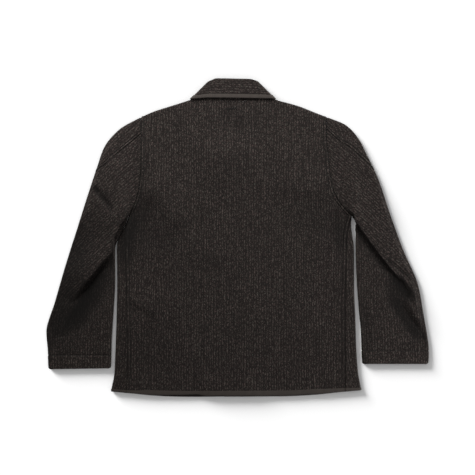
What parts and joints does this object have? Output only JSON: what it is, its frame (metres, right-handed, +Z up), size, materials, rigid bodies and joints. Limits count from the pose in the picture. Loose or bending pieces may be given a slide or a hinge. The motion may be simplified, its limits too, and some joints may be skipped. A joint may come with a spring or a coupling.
{
  "type": "wool work jacket",
  "caption": "Dark charcoal-brown ribbed wool work jacket with a tape-bound collar and hem, laid flat on its front with its back up.",
  "frame": {"origin": "centre of the bounding box on the floor the jacket lies on", "axes": "+X from the wearer's left sleeve to the right one, +Y from the hem to the collar, +Z up from the floor out of the back"},
  "size_m": [0.8725, 0.7265, 0.0165],
  "materials": {
    "wool": "matte ribbed wool in charcoal brown with paler flecks and a short nap",
    "tape": "smooth flat-woven binding tape, a little lighter than the wool",
    "horn": "dark dished buttons with a soft sheen"
  },
  "bodies": {
    "root": {"back": "wool", "front_left": "wool", "front_right": "wool", "sleeve_left_top": "wool", "sleeve_left_under": "wool", "sleeve_right_top": "wool", "sleeve_right_under": "wool", "collar_fall": "wool", "collar_stand": "wool", "collar_binding": "tape", "hem_binding_back": "tape", "hem_binding_front_left": "tape", "hem_binding_front_right": "tape", "button_1": "horn", "button_2": "horn", "button_3": "horn", "button_4": "horn", "button_5": "horn"}
  },
  "joints": []
}
